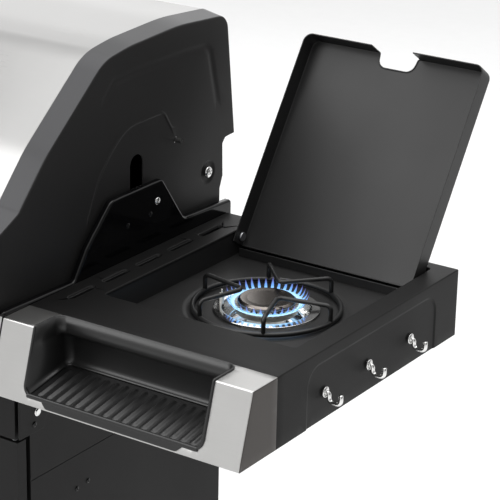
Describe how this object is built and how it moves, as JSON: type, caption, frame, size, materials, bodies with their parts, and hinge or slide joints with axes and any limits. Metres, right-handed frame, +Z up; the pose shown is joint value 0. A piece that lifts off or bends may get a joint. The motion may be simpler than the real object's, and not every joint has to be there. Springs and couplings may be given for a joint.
{
  "type": "gas barbecue grill",
  "caption": "Cabinet-cart gas barbecue with a curved hood, a side burner under a hinged lid, a drop-in tray in the shelf front, and tool hooks.",
  "frame": {"origin": "middle of the whole grill's footprint, on the floor", "axes": "+X to the side-burner shelf, the grill's right as seen from the front; +Y to the back; +Z up"},
  "size_m": [1.362, 0.6042, 1.1522],
  "materials": {
    "stainless": "brushed stainless steel, fine horizontal grain",
    "dark_cap": "satin charcoal paint on pressed steel, lighter on the rim",
    "enamel_black": "gloss black porcelain enamel",
    "powder_black": "fine-textured dark grey powder coat",
    "satin_black": "satin black moulded plastic",
    "cast_iron": "black enamelled iron and wire",
    "bright_steel": "bright chromed steel",
    "burner_steel": "plain stainless steel, slightly heat tinted",
    "knob_plastic": "black moulded plastic",
    "bezel_chrome": "polished chrome",
    "brass": "turned brass",
    "zinc": "bright zinc plating",
    "ceramic": "white glazed ceramic",
    "wheel_rubber": "hard black rubber"
  },
  "bodies": {
    "cart": {"cart_base": "powder_black", "side_panel_right": "powder_black", "side_panel_left": "powder_black", "back_panel": "powder_black", "front_rail": "powder_black", "corner_brackets": "powder_black", "firebox": "enamel_black", "firebox_end_right": "enamel_black", "firebox_end_left": "enamel_black", "burner_tubes": "burner_steel", "heat_tents": "burner_steel", "cooking_grate_right": "cast_iron", "cooking_grate_left": "cast_iron", "electrodes": "ceramic", "manifold": "zinc", "control_panel": "stainless", "knob_bezels": "bezel_chrome", "shelf_right": "powder_black", "shelf_left": "powder_black", "fascia_right": "stainless", "fascia_left": "stainless", "tray": "satin_black", "burner_pan": "powder_black", "tool_hooks": "bright_steel", "burner_bowl": "bright_steel", "burner_head": "burner_steel", "burner_cap": "burner_steel", "burner_grate": "cast_iron", "fasteners": "zinc"},
    "hood": {"hood_skin": "stainless", "hood_cap_right": "dark_cap", "hood_cap_left": "dark_cap", "hood_handle": "bright_steel", "temperature_gauge": "bezel_chrome"},
    "rack": {"warming_rack": "bright_steel"},
    "legs": {"rack_legs": "bright_steel"},
    "lid": {"side_lid": "powder_black"},
    "right_door": {"door_right": "powder_black", "door_handle_right": "bright_steel"},
    "left_door": {"door_left": "powder_black", "door_handle_left": "bright_steel"},
    "grease_drawer": {"grease_tray": "burner_steel"},
    "igniter": {"ignition_button": "knob_plastic"},
    "stem_1": {"valve_stem_1": "brass"},
    "knob_1": {"knob_1": "knob_plastic"},
    "stem_2": {"valve_stem_2": "brass"},
    "knob_2": {"knob_2": "knob_plastic"},
    "stem_3": {"valve_stem_3": "brass"},
    "knob_3": {"knob_3": "knob_plastic"},
    "stem_4": {"valve_stem_4": "brass"},
    "knob_4": {"knob_4": "knob_plastic"},
    "caster_1": {"caster_fork_1": "zinc"},
    "wheel_1": {"caster_wheel_1": "wheel_rubber"},
    "caster_2": {"caster_fork_2": "zinc"},
    "wheel_2": {"caster_wheel_2": "wheel_rubber"},
    "caster_3": {"caster_fork_3": "zinc"},
    "wheel_3": {"caster_wheel_3": "wheel_rubber"},
    "caster_4": {"caster_fork_4": "zinc"},
    "wheel_4": {"caster_wheel_4": "wheel_rubber"}
  },
  "joints": [
    {"name": "hood_hinge", "type": "hinge", "parent": "cart", "child": "hood", "pos_m": [-0.011, 0.16686, 0.9552], "axis": [-1, 0, 0], "range_deg": [0, 85]},
    {"name": "rack_level", "type": "hinge", "parent": "hood", "child": "rack", "pos_m": [-0.011, 0.10076, 1.0125], "axis": [-1, 0, 0], "range_deg": [-86, 1]},
    {"name": "leg_swing", "type": "hinge", "parent": "rack", "child": "legs", "pos_m": [-0.011, -0.03084, 0.9984], "axis": [-1, 0, 0], "range_deg": [-1, 86]},
    {"name": "lid_hinge", "type": "hinge", "parent": "cart", "child": "lid", "pos_m": [0.5083, 0.15006, 0.8917], "axis": [1, 0, 0], "range_deg": [0, 123.6]},
    {"name": "right_door_hinge", "type": "hinge", "parent": "cart", "child": "right_door", "pos_m": [0.3235, -0.19314, 0.43], "axis": [0, 0, 1], "range_deg": [0, 110]},
    {"name": "left_door_hinge", "type": "hinge", "parent": "cart", "child": "left_door", "pos_m": [-0.3455, -0.19314, 0.43], "axis": [0, 0, -1], "range_deg": [0, 110]},
    {"name": "grease_tray_slide", "type": "slide", "parent": "cart", "child": "grease_drawer", "axis": [0, 1, 0], "range_m": [0, 0.3]},
    {"name": "igniter_push", "type": "slide", "parent": "cart", "child": "igniter", "axis": [0, 0.96, -0.2801], "range_m": [0, 0.004], "stiffness_N_per_m": 500, "springref_m": -0.002},
    {"name": "knob_1_push", "type": "slide", "parent": "cart", "child": "stem_1", "axis": [0, 0.96, -0.2801], "range_m": [0, 0.003], "stiffness_N_per_m": 800, "springref_m": -0.002},
    {"name": "knob_1_turn", "type": "hinge", "parent": "stem_1", "child": "knob_1", "pos_m": [-0.221, -0.23738, 0.86352], "axis": [0, -0.96, 0.2801], "range_deg": [0, 210]},
    {"name": "knob_2_push", "type": "slide", "parent": "cart", "child": "stem_2", "axis": [0, 0.96, -0.2801], "range_m": [0, 0.003], "stiffness_N_per_m": 800, "springref_m": -0.002},
    {"name": "knob_2_turn", "type": "hinge", "parent": "stem_2", "child": "knob_2", "pos_m": [-0.081, -0.23738, 0.86352], "axis": [0, -0.96, 0.2801], "range_deg": [0, 210]},
    {"name": "knob_3_push", "type": "slide", "parent": "cart", "child": "stem_3", "axis": [0, 0.96, -0.2801], "range_m": [0, 0.003], "stiffness_N_per_m": 800, "springref_m": -0.002},
    {"name": "knob_3_turn", "type": "hinge", "parent": "stem_3", "child": "knob_3", "pos_m": [0.059, -0.23738, 0.86352], "axis": [0, -0.96, 0.2801], "range_deg": [0, 210]},
    {"name": "knob_4_push", "type": "slide", "parent": "cart", "child": "stem_4", "axis": [0, 0.96, -0.2801], "range_m": [0, 0.003], "stiffness_N_per_m": 800, "springref_m": -0.002},
    {"name": "knob_4_turn", "type": "hinge", "parent": "stem_4", "child": "knob_4", "pos_m": [0.199, -0.23738, 0.86352], "axis": [0, -0.96, 0.2801], "range_deg": [0, 210]},
    {"name": "caster_1_swivel", "type": "hinge", "parent": "cart", "child": "caster_1", "pos_m": [-0.303, -0.13364, 0.08], "axis": [0, 0, 1], "continuous": true},
    {"name": "wheel_1_roll", "type": "hinge", "parent": "caster_1", "child": "wheel_1", "pos_m": [-0.303, -0.11564, 0.032], "axis": [1, 0, 0], "continuous": true},
    {"name": "caster_2_swivel", "type": "hinge", "parent": "cart", "child": "caster_2", "pos_m": [0.281, -0.13364, 0.08], "axis": [0, 0, 1], "continuous": true},
    {"name": "wheel_2_roll", "type": "hinge", "parent": "caster_2", "child": "wheel_2", "pos_m": [0.281, -0.11564, 0.032], "axis": [1, 0, 0], "continuous": true},
    {"name": "caster_3_swivel", "type": "hinge", "parent": "cart", "child": "caster_3", "pos_m": [-0.303, 0.14236, 0.08], "axis": [0, 0, 1], "continuous": true},
    {"name": "wheel_3_roll", "type": "hinge", "parent": "caster_3", "child": "wheel_3", "pos_m": [-0.303, 0.16036, 0.032], "axis": [1, 0, 0], "continuous": true},
    {"name": "caster_4_swivel", "type": "hinge", "parent": "cart", "child": "caster_4", "pos_m": [0.281, 0.14236, 0.08], "axis": [0, 0, 1], "continuous": true},
    {"name": "wheel_4_roll", "type": "hinge", "parent": "caster_4", "child": "wheel_4", "pos_m": [0.281, 0.16036, 0.032], "axis": [1, 0, 0], "continuous": true}
  ],
  "couplings": [
    {"joint": "rack_level", "follows": "hood_hinge", "ratio": -1},
    {"joint": "leg_swing", "follows": "hood_hinge", "ratio": 1}
  ]
}
